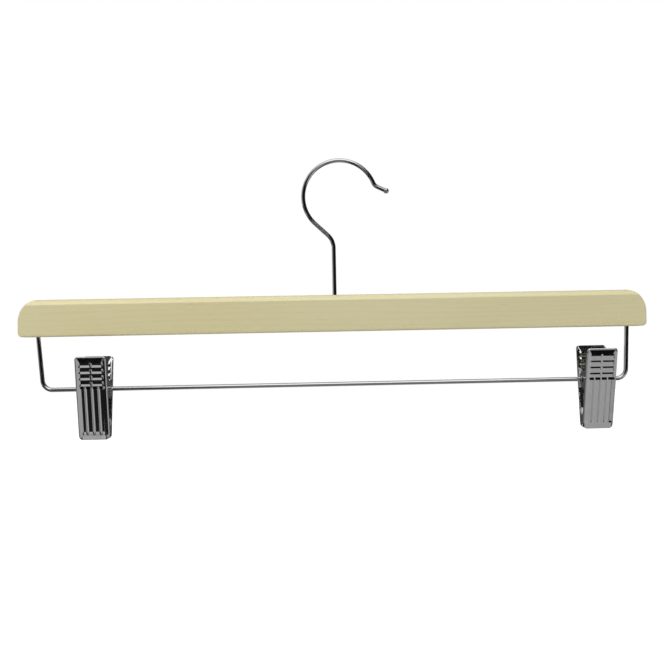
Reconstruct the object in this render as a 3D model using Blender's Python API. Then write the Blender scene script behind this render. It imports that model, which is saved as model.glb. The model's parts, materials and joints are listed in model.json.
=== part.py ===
"""Skirt hanger: a wooden bar on a swivel hook, with a wire rail that carries two sprung clips.

Metres, +Z up, the bar along X and its front facing -Y. The origin is the underside of the hook's
crown, straight above the stem, where a closet rod bears.
"""
import math

import bmesh
import bpy
from mathutils import Matrix, Vector

MM = 0.001

# Wooden bar
BAR_LENGTH = 380.0 * MM
BAR_HEIGHT = 22.4 * MM
BAR_THICKNESS = 12.0 * MM
BAR_CROWN = 3.4 * MM
END_CORNER_LENGTH = 11.8 * MM
END_CORNER_HEIGHT = 13.8 * MM
LOWER_CORNER_RADIUS = 2.6 * MM
BAR_EDGE_RADIUS = 0.9 * MM

# Swivel hook
HOOK_WIRE = 2.5 * MM
LOOP_BORE = 42.1 * MM
LOOP_OFFSET = 4.3 * MM
LOOP_HEIGHT = 59.8 * MM
NECK_SLOPE = math.radians(43.0)
NECK_BEND_RADIUS = 11.0 * MM
TIP_ANGLE = math.radians(20.0)
TIP_BEND_RADIUS = 3.0 * MM
TIP_BEND_TURN = math.radians(42.0)
TIP_LENGTH = 6.6 * MM
TIP_BALL = 3.3 * MM
HEAD_DIAMETER = 5.2 * MM
HEAD_HEIGHT = 1.4 * MM
HEAD_ROUNDING = 0.35 * MM
WASHER_DIAMETER = 7.4 * MM
WASHER_THICKNESS = 0.8 * MM
COUNTERBORE_DEPTH = 4.2 * MM

# Clip rail
RAIL_WIRE = 2.6 * MM
LEG_INSET = 10.6 * MM
LEG_DEPTH = 12.0 * MM
LEFT_LEG_LEAN = math.radians(4.9)
RIGHT_LEG_LEAN = math.radians(2.2)
RAIL_DROP = 32.0 * MM
RAIL_BEND_RADIUS = 6.0 * MM

# Where the clips hang, from the rail leg next to each, and how far each has swung about the rail
LEFT_CLIP_FROM_LEG = 33.4 * MM
RIGHT_CLIP_FROM_LEG = 19.4 * MM
LEFT_CLIP_TILT = math.radians(0.0)
RIGHT_CLIP_TILT = math.radians(4.5)

# Jaws, with heights measured from the rail that they hang on and spreads across both jaws
JAW_WIDTH = 18.6 * MM
JAW_RISE = 19.7 * MM
JAW_REACH = 30.4 * MM
LIP_HEIGHT = 3.6 * MM
LIP_SPREAD = 24.6 * MM
GRIP_SPREAD = 23.0 * MM
PIVOT_SPREAD = 17.4 * MM
TIP_SPREAD = 5.8 * MM
SHEET = 0.55 * MM
FOLD_RADIUS = 0.75 * MM
LIP_CORNER_RADIUS = 1.8 * MM
TIP_CORNER_RADIUS = 2.7 * MM

# The raised rim round each jaw's field, and what is pressed into the field
RIM_RISE = 0.45 * MM
RIM_BEVEL = 0.6 * MM
TIP_BAND = 3.1 * MM
RELIEF = 0.5 * MM
GROOVE_ROWS = 4
GROOVE_PITCH = 3.75 * MM
GROOVE_HEIGHT = 2.0 * MM
FIRST_GROOVE = 15.25 * MM
FLUTES = 4
FLUTE_PITCH = 4.1 * MM
FLUTE_WIDTH = 3.0 * MM
FLUTE_WALL = 1.0 * MM
FLUTE_TOP = 1.9 * MM
FLUTE_TOP_SLOPE = 1.8 * MM

# Side flanges: how deep each is folded, and the heights above the tip where its edge turns
EAR_RADIUS = 4.0 * MM
EAR_BASE = 6.4 * MM
EAR_JOG = 1.2 * MM
RIM_FLANGE = 1.8 * MM
EAR_FLANGE = 2.9 * MM
PIVOT_FLANGE = 2.3 * MM
WINDOW_FLANGE = 1.6 * MM
WINDOW_FOOT_FLANGE = 2.1 * MM
WINDOW_FOOT_HEIGHT = 12.3 * MM
SHUT_HEIGHT = 8.3 * MM
TIP_FLANGE_GAP = 1.2 * MM

# Pivot tube, spring and pads
TUBE_WALL = 0.35 * MM
TUBE_FLARE = 5.0 * MM
TUBE_FLARE_THICKNESS = 0.5 * MM
TUBE_FLARE_BEVEL = 0.15 * MM
SPRING_WIRE = 1.0 * MM
SPRING_TURNS = 5
SPRING_COIL_GAP = 0.45 * MM
SPRING_LEG_RISE = 13.0 * MM
PAD_TIP_GAP = 1.2 * MM
PAD_HEIGHT = 11.0 * MM
PAD_RIBS = 5
PAD_RIB_DEPTH = 0.35 * MM
PAD_RIB_FLANK = 0.75 * MM

# One clearance for pieces that seat on or run in each other, and how far a cutter passes a face
FIT = 0.3 * MM
OVERSHOOT = 1.0 * MM

# Facets
HOOK_SIDES = 12
RAIL_SIDES = 10
ROUND_STEPS = 24
COIL_STEPS = 9
ARC_STEP = math.radians(11.0)
FOLD_STEPS = (math.radians(50.0), math.radians(90.0))
BALL_END = math.radians(8.0)
LEAST_STEP = 0.2 * MM
LEAST_RISE = 0.05 * MM

# Worked out from the sizes above
LOOP_RADIUS = (LOOP_BORE + HOOK_WIRE) / 2.0
LOOP_Z = -math.sqrt((LOOP_BORE / 2.0) ** 2 - LOOP_OFFSET ** 2)
BAR_TOP_Z = LOOP_Z - LOOP_HEIGHT
BAR_BASE_Z = BAR_TOP_Z - BAR_HEIGHT
LEG_X = BAR_LENGTH / 2.0 - LEG_INSET
TUBE_BORE_RADIUS = RAIL_WIRE / 2.0 + FIT
TUBE_RADIUS = TUBE_BORE_RADIUS + TUBE_WALL
RIM_CREST = JAW_WIDTH / 2.0 - FOLD_RADIUS
EAR_STEP = SHEET + FIT
EAR_SHOULDER = 0.8 * EAR_RADIUS
EAR_SHOULDER_DEPTH = 0.6 * EAR_RADIUS
WINDOW_FOOT = JAW_REACH - WINDOW_FOOT_HEIGHT
WINDOW_MIDDLE = (EAR_BASE + WINDOW_FOOT) / 2.0
FLANGE_SHUT = JAW_REACH - SHUT_HEIGHT


def clear_scene():
    for item in list(bpy.data.objects):
        bpy.data.objects.remove(item, do_unlink=True)


def make_material(name, colour, metallic, roughness):
    material = bpy.data.materials.new(name)
    material.use_nodes = True
    shader = material.node_tree.nodes["Principled BSDF"]
    shader.inputs["Base Color"].default_value = (*colour, 1.0)
    shader.inputs["Metallic"].default_value = metallic
    shader.inputs["Roughness"].default_value = roughness
    material.diffuse_color = (*colour, 1.0)
    return material


def place(item, parent=None, location=(0.0, 0.0, 0.0), turn=(0.0, 0.0, 0.0), material=None):
    bpy.context.scene.collection.objects.link(item)
    item.location = location
    item.rotation_euler = turn
    item.parent = parent
    if material is not None:
        item.data.materials.append(material)
    return item


def mesh_object(name, bm, closed=True):
    if closed:
        bmesh.ops.recalc_face_normals(bm, faces=bm.faces)
    mesh = bpy.data.meshes.new(name)
    bm.to_mesh(mesh)
    bm.free()
    mesh.shade_smooth()
    mesh.set_sharp_from_angle(angle=math.radians(35.0))
    return bpy.data.objects.new(name, mesh)


def as_cutter(item):
    item.hide_render = True
    item.display_type = 'WIRE'
    return item


def cut(target, cutter, operation='DIFFERENCE'):
    boolean = target.modifiers.new(cutter.name, 'BOOLEAN')
    boolean.operation = operation
    boolean.solver = 'EXACT'
    boolean.object = cutter


def extruded(name, outline, direction):
    """A closed outline pushed along a direction, centred on the outline's own plane."""
    bm = bmesh.new()
    start = [bm.verts.new(Vector(point) - direction / 2.0) for point in outline]
    face = bm.faces.new(start)
    pushed = bmesh.ops.extrude_face_region(bm, geom=[face])
    moved = [part for part in pushed["geom"] if isinstance(part, bmesh.types.BMVert)]
    bmesh.ops.translate(bm, verts=moved, vec=direction)
    return mesh_object(name, bm)


def turned(name, profile, axis, steps=ROUND_STEPS):
    """A closed profile of (distance along the axis, radius) spun right round the axis."""
    bm = bmesh.new()
    side = Vector((0.0, 0.0, 1.0)) if abs(axis.z) < 0.5 else Vector((1.0, 0.0, 0.0))
    points = [bm.verts.new(axis * along + side * radius) for along, radius in profile]
    edges = [bm.edges.new((points[i - 1], points[i])) for i in range(len(points))]
    bmesh.ops.spin(bm, geom=points + edges, cent=(0.0, 0.0, 0.0), axis=axis,
                   angle=math.tau, steps=steps, use_merge=True)
    return mesh_object(name, bm)


def rod(name, start, end, radius, steps=ROUND_STEPS):
    """A plain cylinder from one point to another."""
    line = Vector(end) - Vector(start)
    middle = (Vector(start) + Vector(end)) / 2.0
    turn = line.to_track_quat('Z', 'Y').to_matrix().to_4x4()
    bm = bmesh.new()
    bmesh.ops.create_cone(bm, cap_ends=True, segments=steps, radius1=radius, radius2=radius,
                          depth=line.length, matrix=Matrix.Translation(middle) @ turn)
    return mesh_object(name, bm)


def wire(name, points, diameter, sides, widths=None):
    """A round wire along points, each with an optional width as a share of the diameter."""
    curve = bpy.data.curves.new(name, 'CURVE')
    curve.dimensions = '3D'
    curve.bevel_depth = diameter / 2.0
    curve.bevel_resolution = (sides - 4) // 2
    curve.use_fill_caps = True
    curve.twist_mode = 'MINIMUM'
    spline = curve.splines.new('POLY')
    spline.points.add(len(points) - 1)
    for index, point in enumerate(points):
        spline.points[index].co = (*point, 1.0)
        spline.points[index].radius = widths[index] if widths else 1.0
    return bpy.data.objects.new(name, curve)


def arc(centre, radius, start, end):
    """Points on a circle in the XZ plane, from one angle to another."""
    count = max(2, math.ceil(abs(end - start) / ARC_STEP))
    angles = [start + (end - start) * step / count for step in range(count + 1)]
    return [Vector((centre.x + radius * math.cos(angle), 0.0, centre.z + radius * math.sin(angle)))
            for angle in angles]


def rounded_corner(before, corner, after, radius):
    """The bend that replaces a corner between two straight runs in the XZ plane."""
    inward = (before - corner).normalized()
    outward = (after - corner).normalized()
    half = inward.angle(outward) / 2.0
    centre = corner + (inward + outward).normalized() * radius / math.sin(half)
    first = corner + inward * radius / math.tan(half) - centre
    last = corner + outward * radius / math.tan(half) - centre
    start = math.atan2(first.z, first.x)
    turn = math.atan2(last.z, last.x) - start
    turn = (turn + math.pi) % math.tau - math.pi
    return arc(centre, radius, start, start + turn)


def bar_section():
    """The bar's cross-section in the YZ plane: square sides under an arched crown."""
    half = BAR_THICKNESS / 2.0
    shoulder = BAR_HEIGHT - BAR_CROWN
    radius = (half ** 2 + BAR_CROWN ** 2) / (2.0 * BAR_CROWN)
    sweep = math.asin(half / radius)
    steps = 10
    crown = []
    for step in range(steps + 1):
        angle = sweep - 2.0 * sweep * step / steps
        crown.append((0.0, radius * math.sin(angle), shoulder + BAR_CROWN - radius * (1.0 - math.cos(angle))))
    return [(0.0, -half, 0.0), (0.0, half, 0.0)] + crown


def bar_outline():
    """The bar's front outline in the XZ plane, with elliptical upper corners."""
    half = BAR_LENGTH / 2.0
    right = []
    steps = 6
    for step in range(steps + 1):
        angle = -math.pi / 2.0 * (1.0 - step / steps)
        right.append((half - LOWER_CORNER_RADIUS * (1.0 - math.cos(angle)),
                      LOWER_CORNER_RADIUS * (1.0 + math.sin(angle))))
    steps = 12
    for step in range(steps + 1):
        angle = math.pi / 2.0 * step / steps
        right.append((half - END_CORNER_LENGTH * (1.0 - math.cos(angle)),
                      BAR_HEIGHT - END_CORNER_HEIGHT * (1.0 - math.sin(angle))))
    left = [(-x, z) for x, z in reversed(right)]
    return [(x, 0.0, z) for x, z in right + left]


def leg_line(side):
    """A rail leg's top in the wood, its mouth at the bar's underside and its corner on the rail."""
    lean = LEFT_LEG_LEAN if side < 0 else RIGHT_LEG_LEAN
    top = Vector((side * (LEG_X + LEG_DEPTH * math.tan(lean)), 0.0, LEG_DEPTH))
    corner = Vector((side * (LEG_X - RAIL_DROP * math.tan(lean)), 0.0, -RAIL_DROP))
    return top, corner


def make_bar(material):
    bar = extruded("wooden_bar", bar_section(), Vector((BAR_LENGTH + 2.0 * OVERSHOOT, 0.0, 0.0)))
    place(bar, location=(0.0, 0.0, BAR_BASE_Z), material=material)
    across = Vector((0.0, 2.0 * BAR_THICKNESS, 0.0))
    ends = place(as_cutter(extruded("bar_end_shape", bar_outline(), across)), bar)
    cut(bar, ends, 'INTERSECT')
    soften = bar.modifiers.new("softened edges", 'BEVEL')
    soften.width = BAR_EDGE_RADIUS
    soften.segments = 2
    soften.limit_method = 'ANGLE'
    soften.angle_limit = math.radians(50.0)

    bore = HOOK_WIRE / 2.0 + FIT
    pocket = WASHER_DIAMETER / 2.0 + FIT
    above = BAR_HEIGHT + OVERSHOOT
    profile = [(-OVERSHOOT, 0.0), (-OVERSHOOT, pocket), (COUNTERBORE_DEPTH, pocket),
               (COUNTERBORE_DEPTH, bore), (above, bore), (above, 0.0)]
    bm = bmesh.new()
    points = [bm.verts.new((radius, 0.0, z)) for z, radius in profile]
    edges = [bm.edges.new((points[i], points[i + 1])) for i in range(len(points) - 1)]
    bmesh.ops.spin(bm, geom=points + edges, cent=(0.0, 0.0, 0.0), axis=(0.0, 0.0, 1.0),
                   angle=math.tau, steps=ROUND_STEPS, use_merge=True)
    bmesh.ops.remove_doubles(bm, verts=bm.verts, dist=1e-6)
    cut(bar, place(as_cutter(mesh_object("hook_bore", bm)), bar))

    for side, name in ((-1, "left_leg_hole"), (1, "right_leg_hole")):
        top, corner = leg_line(side)
        upward = (top - corner).normalized()
        mouth = top - upward * (LEG_DEPTH + OVERSHOOT) / upward.z
        hole = rod(name, top + upward * FIT, mouth, RAIL_WIRE / 2.0 + FIT, 16)
        cut(bar, place(as_cutter(hole), bar))
    return bar


def make_hook(material):
    """One wire: upset head, stem, neck, loop, reversed tip and ball."""
    centre = Vector((LOOP_OFFSET, 0.0, LOOP_Z))
    washer_base = BAR_BASE_Z + COUNTERBORE_DEPTH - FIT - WASHER_THICKNESS
    head_top = washer_base - FIT
    head_base = head_top - HEAD_HEIGHT
    full = HEAD_DIAMETER / HOOK_WIRE
    rounded = full - 2.0 * HEAD_ROUNDING / HOOK_WIRE
    heights = (head_base, head_base + HEAD_ROUNDING, head_top - LEAST_RISE, head_top)
    points = [Vector((0.0, 0.0, height)) for height in heights]
    widths = [rounded, full, full, 1.0]

    touch_angle = math.pi + math.pi / 2.0 - NECK_SLOPE
    touch = centre + LOOP_RADIUS * Vector((math.cos(touch_angle), 0.0, math.sin(touch_angle)))
    run = -touch.x / math.cos(NECK_SLOPE)
    corner = touch + run * Vector((math.cos(NECK_SLOPE), 0.0, -math.sin(NECK_SLOPE)))
    neck = rounded_corner(points[-1], corner, touch, NECK_BEND_RADIUS)
    loop = arc(centre, LOOP_RADIUS, touch_angle, TIP_ANGLE)
    outward = Vector((math.cos(TIP_ANGLE), 0.0, math.sin(TIP_ANGLE)))
    tip_centre = centre + (LOOP_RADIUS + TIP_BEND_RADIUS) * outward
    start = TIP_ANGLE + math.pi
    tip_bend = arc(tip_centre, TIP_BEND_RADIUS, start, start + TIP_BEND_TURN)
    heading = TIP_ANGLE - math.pi / 2.0 + TIP_BEND_TURN
    ahead = Vector((math.cos(heading), 0.0, math.sin(heading)))
    route = neck + loop + tip_bend[1:]
    points += route
    widths += [1.0] * len(route)

    ball_centre = route[-1] + TIP_LENGTH * ahead
    ball_radius = TIP_BALL / 2.0
    wire_radius = HOOK_WIRE / 2.0
    steps = 7
    first = math.pi - math.asin(wire_radius / ball_radius)
    for step in range(steps + 1):
        angle = first + (BALL_END - first) * step / steps
        points.append(ball_centre + ball_radius * math.cos(angle) * ahead)
        widths.append(ball_radius * math.sin(angle) / wire_radius)
    hook = wire("hook", points, HOOK_WIRE, HOOK_SIDES, widths)
    return place(hook, material=material)


def make_washer(bar, material):
    inner = HOOK_WIRE / 2.0 + FIT
    outer = WASHER_DIAMETER / 2.0
    profile = [(0.0, inner), (0.0, outer), (WASHER_THICKNESS, outer), (WASHER_THICKNESS, inner)]
    washer = turned("hook_washer", profile, Vector((0.0, 0.0, 1.0)))
    height = COUNTERBORE_DEPTH - FIT - WASHER_THICKNESS
    return place(washer, bar, (0.0, 0.0, height), material=material)


def make_rail(bar, material):
    left_top, left_corner = leg_line(-1)
    right_top, right_corner = leg_line(1)
    points = [left_top]
    points += rounded_corner(left_top, left_corner, right_corner, RAIL_BEND_RADIUS)
    points += rounded_corner(left_corner, right_corner, right_top, RAIL_BEND_RADIUS)
    points.append(right_top)
    return place(wire("clip_rail", points, RAIL_WIRE, RAIL_SIDES), bar, material=material)


def along(stations, z):
    """The value at height z on a line through (z, value) stations, listed from the top down."""
    for (z_high, high), (z_low, low) in zip(stations, stations[1:]):
        if z >= z_low:
            return low + (high - low) * (z - z_low) / (z_high - z_low)
    return stations[-1][1]


def jaw_face(z):
    """How far in front of the pivot the outer face of a jaw lies at height z."""
    stations = [(JAW_RISE, LIP_SPREAD / 2.0), (JAW_RISE - LIP_HEIGHT, GRIP_SPREAD / 2.0),
                (0.0, PIVOT_SPREAD / 2.0), (-JAW_REACH, TIP_SPREAD / 2.0)]
    return along(stations, z)


def flange_depth(z):
    """How deep the side flange is folded back at height z, away from its ear."""
    shut = jaw_face(-FLANGE_SHUT) - TIP_FLANGE_GAP / 2.0
    tip = jaw_face(-JAW_REACH) - TIP_FLANGE_GAP / 2.0
    stations = [(JAW_RISE, RIM_FLANGE), (EAR_BASE, EAR_FLANGE), (0.0, PIVOT_FLANGE),
                (-WINDOW_MIDDLE, WINDOW_FLANGE), (-WINDOW_FOOT, WINDOW_FOOT_FLANGE),
                (-FLANGE_SHUT, shut), (-JAW_REACH, tip)]
    return along(stations, z)


def flange_edge(z):
    """Where the flange and its ear end, as y in a frame whose pivot is at y = 0."""
    plain = flange_depth(z) - jaw_face(z)
    if abs(z) >= EAR_BASE:
        return plain
    if abs(z) <= EAR_SHOULDER:
        return math.sqrt(EAR_RADIUS ** 2 - z ** 2)
    root = flange_depth(EAR_BASE) - jaw_face(EAR_BASE)
    share = (abs(z) - EAR_SHOULDER) / (EAR_BASE - EAR_SHOULDER)
    return max(plain, EAR_SHOULDER_DEPTH * (1.0 - share) + root * share)


def rim_sink(x, z):
    """How far the sheet has gone down from its rim's crest: the field, lip, tip band and bevels."""
    from_side = (RIM_CREST - abs(x)) / RIM_BEVEL
    from_lip = (JAW_RISE - z) / LIP_HEIGHT
    from_tip = (z + JAW_REACH) / TIP_BAND
    return RIM_RISE * max(0.0, min(1.0, from_side, from_lip, from_tip))


def flute_centres():
    return [(index - (FLUTES - 1) / 2.0) * FLUTE_PITCH for index in range(FLUTES)]


def jaw_relief(x, z):
    """How far the field is pressed in at a point: rows of two short grooves, then long flutes."""
    depth = 0.0
    above_foot = z + JAW_REACH - TIP_BAND
    if above_foot >= 0.0 and z <= FLUTE_TOP:
        end = min((FLUTE_TOP - z) / FLUTE_TOP_SLOPE, above_foot / FLUTE_WALL)
        for centre in flute_centres():
            wall = (FLUTE_WIDTH / 2.0 - abs(x - centre)) / FLUTE_WALL
            depth = max(depth, min(1.0, wall, end))
    from_end = (FLUTE_PITCH + FLUTE_WIDTH) / 2.0 - abs(abs(x) - FLUTE_PITCH)
    for row in range(GROOVE_ROWS):
        off = abs(z - FIRST_GROOVE + row * GROOVE_PITCH)
        if off < GROOVE_HEIGHT / 2.0:
            depth = max(depth, min(1.0 - off / (GROOVE_HEIGHT / 2.0), from_end / FLUTE_WALL))
    return RELIEF * max(0.0, depth)


def spaced(values, last):
    """Values in rising order up to a last one, without any that nearly repeats another."""
    kept = []
    for value in sorted(values):
        if last - value > LEAST_STEP and (not kept or value - kept[-1] > LEAST_STEP):
            kept.append(value)
    return kept + [last]


def jaw_columns():
    """The upright lines of the jaw's sheet, as distances from its middle, out to its rim's crest."""
    half = FLUTE_WIDTH / 2.0
    right = [RIM_CREST - RIM_BEVEL]
    for centre in flute_centres():
        lines = [centre + off for off in (-half, FLUTE_WALL - half, half - FLUTE_WALL, half)]
        right += [x for x in lines if x > 0.0]
    right = spaced(right, RIM_CREST)
    return [-x for x in reversed(right)] + right


def jaw_rows():
    """The level lines of the jaw's sheet, from its lip down to its tip."""
    foot = TIP_BAND - JAW_REACH
    rows = [-JAW_REACH, foot, foot + FLUTE_WALL, FLUTE_TOP - FLUTE_TOP_SLOPE, FLUTE_TOP]
    rows.append(JAW_RISE - LIP_HEIGHT)
    for row in range(GROOVE_ROWS):
        middle = FIRST_GROOVE - row * GROOVE_PITCH
        rows += [middle + GROOVE_HEIGHT / 2.0, middle, middle - GROOVE_HEIGHT / 2.0]
    rows += [-EAR_SHOULDER / 2.0, -EAR_SHOULDER, -(EAR_SHOULDER + EAR_BASE) / 2.0, -EAR_BASE]
    rows += [-WINDOW_MIDDLE, -WINDOW_FOOT, -FLANGE_SHUT]
    return spaced(rows, JAW_RISE)[::-1]


def corner_drop(x, radius):
    """How far a rounded corner draws the sheet's end in, at a distance x from its middle."""
    into = abs(x) - (JAW_WIDTH / 2.0 - radius)
    if into <= 0.0:
        return 0.0
    return radius - math.sqrt(max(0.0, radius ** 2 - into ** 2))


def flange_side(z, ear_step):
    """The fold, flange and ear on the right of one level line, the ear stepped in where it nests."""
    half = JAW_WIDTH / 2.0
    face = jaw_face(z)
    edge = flange_edge(z)
    side = []
    for angle in FOLD_STEPS:
        side.append(Vector((half - FOLD_RADIUS * (1.0 - math.sin(angle)),
                            FOLD_RADIUS * (1.0 - math.cos(angle)) - face, z)))
    if ear_step > 0.0:
        step_end = -EAR_RADIUS - FIT
        fold_end = FOLD_RADIUS - jaw_face(0.0)
        for y in (step_end - EAR_JOG, step_end):
            share = (y - fold_end) / (EAR_RADIUS - fold_end)
            side.append(Vector((half, side[1].y + (edge - side[1].y) * share, z)))
    side.append(Vector((half, edge, z)))
    if ear_step > 0.0 and abs(z) < EAR_BASE:
        for point in side[3:]:
            point.x -= ear_step
    return side


def jaw_skin(ear_step):
    """The outer skin of one jaw as rows of points, from one flange's edge across to the other's."""
    grid = []
    for z in jaw_rows():
        face = jaw_face(z)
        line = [Vector((x, rim_sink(x, z) + jaw_relief(x, z) - face, z)) for x in jaw_columns()]
        side = flange_side(z, ear_step)
        line = [Vector((-point.x, point.y, point.z)) for point in reversed(side)] + line + side
        for point in line:
            if z == JAW_RISE:
                point.z -= corner_drop(point.x, LIP_CORNER_RADIUS)
            elif z == -JAW_REACH:
                point.z += corner_drop(point.x, TIP_CORNER_RADIUS)
        grid.append(line)
    return grid


def make_jaw(name, parent, turn_z, ear_step, hole, material):
    grid = jaw_skin(ear_step)
    bm = bmesh.new()
    rows = [[bm.verts.new(point) for point in line] for line in grid]
    for upper, lower in zip(rows, rows[1:]):
        for index in range(len(upper) - 1):
            bm.faces.new((upper[index], lower[index], lower[index + 1], upper[index + 1]))
    jaw = mesh_object(name, bm, closed=False)
    place(jaw, parent, turn=(0.0, 0.0, turn_z), material=material)
    sheet = jaw.modifiers.new("sheet thickness", 'SOLIDIFY')
    sheet.thickness = SHEET
    sheet.offset = -1.0
    sheet.use_even_offset = True
    cut(jaw, hole)
    return jaw


def make_tube(name, parent, material):
    """A hollow rivet with a rolled flare at each end, outside the front jaw's ears."""
    reach = JAW_WIDTH / 2.0 + FIT
    end = reach + TUBE_FLARE_THICKNESS
    flare = TUBE_FLARE / 2.0
    right = [(reach, TUBE_RADIUS), (reach, flare), (end, flare - TUBE_FLARE_BEVEL),
             (end, TUBE_BORE_RADIUS)]
    left = [(-distance, radius) for distance, radius in reversed(right)]
    tube = turned(name, right + left, Vector((1.0, 0.0, 0.0)), 20)
    return place(tube, parent, material=material)


def inner_depth():
    """How far behind the rim's crest a piece inside the jaw starts, clear of the deepest relief."""
    return RIM_RISE + RELIEF + SHEET + FIT


def spring_points():
    """A torsion spring round the tube: a leg up each jaw and close turns between them."""
    radius = (TUBE_RADIUS + FIT + SPRING_WIRE / 2.0) / math.cos(math.pi / COIL_STEPS)
    pitch = SPRING_WIRE + SPRING_COIL_GAP
    inside = jaw_face(SPRING_LEG_RISE) - inner_depth() - SPRING_WIRE / 2.0
    end = Vector((0.0, -inside, SPRING_LEG_RISE))
    polar = math.atan2(end.z, end.y)
    first = polar + math.acos(radius / end.length)
    last = math.pi - first
    sweep = (last - first) % math.tau + math.tau * SPRING_TURNS
    steps = math.ceil(sweep / math.tau * COIL_STEPS)
    width = pitch * sweep / math.tau
    coil = []
    for step in range(steps + 1):
        share = step / steps
        angle = first + sweep * share
        coil.append(Vector((width * (share - 0.5), radius * math.cos(angle), radius * math.sin(angle))))
    front_leg = Vector((coil[0].x, end.y, end.z))
    back_leg = Vector((coil[-1].x, -end.y, end.z))
    return [front_leg] + coil + [back_leg]


def least_coil_gap(points, turn_steps):
    """The least clear space between one turn of a tube and the next, measured on its points."""
    coil = points[1:-1]
    gaps = []
    for index in range(len(coil) - turn_steps):
        for other in range(index + turn_steps - 2, len(coil)):
            gaps.append((coil[index] - coil[other]).length - SPRING_WIRE)
    return min(gaps)


def make_spring(name, parent, material):
    points = spring_points()
    print(name, "least gap between turns mm", round(least_coil_gap(points, COIL_STEPS) / MM, 3))
    return place(wire(name, points, SPRING_WIRE, 6), parent, material=material)


def make_pad(name, parent, turn_z, material):
    """A wedge of soft plastic inside a jaw's tip, ribbed where it grips."""
    foot = PAD_TIP_GAP - JAW_REACH
    top = foot + PAD_HEIGHT
    inset = inner_depth()
    outline = [(0.0, inset - jaw_face(foot), foot), (0.0, inset - jaw_face(top), top)]
    crest = -FIT / 2.0
    pitch = PAD_HEIGHT / PAD_RIBS
    for rib in range(PAD_RIBS):
        start = top - pitch * rib
        outline.append((0.0, crest - PAD_RIB_DEPTH, start))
        outline.append((0.0, crest, start - PAD_RIB_FLANK))
        outline.append((0.0, crest, start - pitch + PAD_RIB_FLANK))
    outline.append((0.0, crest - PAD_RIB_DEPTH, foot))
    width = JAW_WIDTH - 2.0 * (SHEET + FIT)
    pad = extruded(name, outline, Vector((width, 0.0, 0.0)))
    return place(pad, parent, turn=(0.0, 0.0, turn_z), material=material)


def make_clip(side, bar, x, tilt, materials):
    """One clip, all on the empty that marks its pivot on the rail."""
    pivot = place(bpy.data.objects.new(side + "_clip_pivot", None), bar, (x, 0.0, -RAIL_DROP),
                  (tilt, 0.0, 0.0))
    reach = JAW_WIDTH
    hole = rod(side + "_ear_hole", (-reach, 0.0, 0.0), (reach, 0.0, 0.0), TUBE_RADIUS + FIT)
    place(as_cutter(hole), pivot)
    make_tube(side + "_pivot_tube", pivot, materials["tube"])
    make_jaw(side + "_front_jaw", pivot, 0.0, 0.0, hole, materials["jaw"])
    make_jaw(side + "_back_jaw", pivot, math.pi, EAR_STEP, hole, materials["jaw"])
    make_spring(side + "_spring", pivot, materials["spring"])
    make_pad(side + "_front_pad", pivot, 0.0, materials["pad"])
    make_pad(side + "_back_pad", pivot, math.pi, materials["pad"])


def main():
    clear_scene()
    materials = {
        "wood": make_material("pale wood", (0.62, 0.55, 0.32), 0.0, 0.5),
        "hook": make_material("chromed hook wire", (0.62, 0.62, 0.63), 1.0, 0.12),
        "rail": make_material("chromed rail wire", (0.62, 0.62, 0.63), 1.0, 0.12),
        "washer": make_material("zinc washer", (0.5, 0.5, 0.52), 1.0, 0.35),
        "jaw": make_material("chromed sheet", (0.62, 0.62, 0.64), 1.0, 0.1),
        "tube": make_material("plated tube", (0.55, 0.55, 0.57), 1.0, 0.2),
        "spring": make_material("spring steel", (0.4, 0.4, 0.42), 1.0, 0.3),
        "pad": make_material("clear soft plastic", (0.78, 0.8, 0.78), 0.0, 0.4),
    }
    make_hook(materials["hook"])
    bar = make_bar(materials["wood"])
    make_washer(bar, materials["washer"])
    make_rail(bar, materials["rail"])
    make_clip("left", bar, LEFT_CLIP_FROM_LEG - LEG_X, LEFT_CLIP_TILT, materials)
    make_clip("right", bar, LEG_X - RIGHT_CLIP_FROM_LEG, RIGHT_CLIP_TILT, materials)


main()
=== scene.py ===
"""Looks of a skirt hanger: pale wood, bright wire and two pressed, chromed clips.

Metres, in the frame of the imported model: +Z up, the bar along X, its front facing -Y. Sizes are the
model's own, and each finished piece lies in its mesh, with its object at the origin.
"""
import json
import math

import bmesh
import bpy
from mathutils import Matrix, Vector


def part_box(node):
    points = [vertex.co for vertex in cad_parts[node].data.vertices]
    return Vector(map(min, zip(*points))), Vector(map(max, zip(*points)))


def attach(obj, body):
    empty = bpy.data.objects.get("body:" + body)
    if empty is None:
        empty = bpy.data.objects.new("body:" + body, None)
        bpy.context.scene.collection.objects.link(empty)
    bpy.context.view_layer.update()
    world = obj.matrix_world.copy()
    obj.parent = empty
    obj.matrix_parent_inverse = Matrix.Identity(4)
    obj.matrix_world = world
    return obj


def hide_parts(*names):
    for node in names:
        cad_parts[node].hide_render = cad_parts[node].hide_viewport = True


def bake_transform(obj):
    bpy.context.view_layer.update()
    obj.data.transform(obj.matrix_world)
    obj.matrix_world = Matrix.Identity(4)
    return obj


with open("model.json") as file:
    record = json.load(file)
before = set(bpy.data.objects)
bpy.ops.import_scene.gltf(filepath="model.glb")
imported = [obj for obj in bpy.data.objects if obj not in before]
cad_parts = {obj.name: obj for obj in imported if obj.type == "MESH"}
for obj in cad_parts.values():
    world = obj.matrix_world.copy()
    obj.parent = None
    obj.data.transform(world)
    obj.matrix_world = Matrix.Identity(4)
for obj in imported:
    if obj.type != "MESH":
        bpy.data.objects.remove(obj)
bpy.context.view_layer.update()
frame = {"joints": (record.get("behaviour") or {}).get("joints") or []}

MM = 0.001

# Wooden bar
BAR_CROWN = 3.4 * MM
END_CORNER_LENGTH = 11.8 * MM
END_CORNER_HEIGHT = 13.8 * MM
LOWER_CORNER_RADIUS = 2.6 * MM
BAR_EDGE_RADIUS = 0.9 * MM
COUNTERBORE_DEPTH = 4.2 * MM

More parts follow.
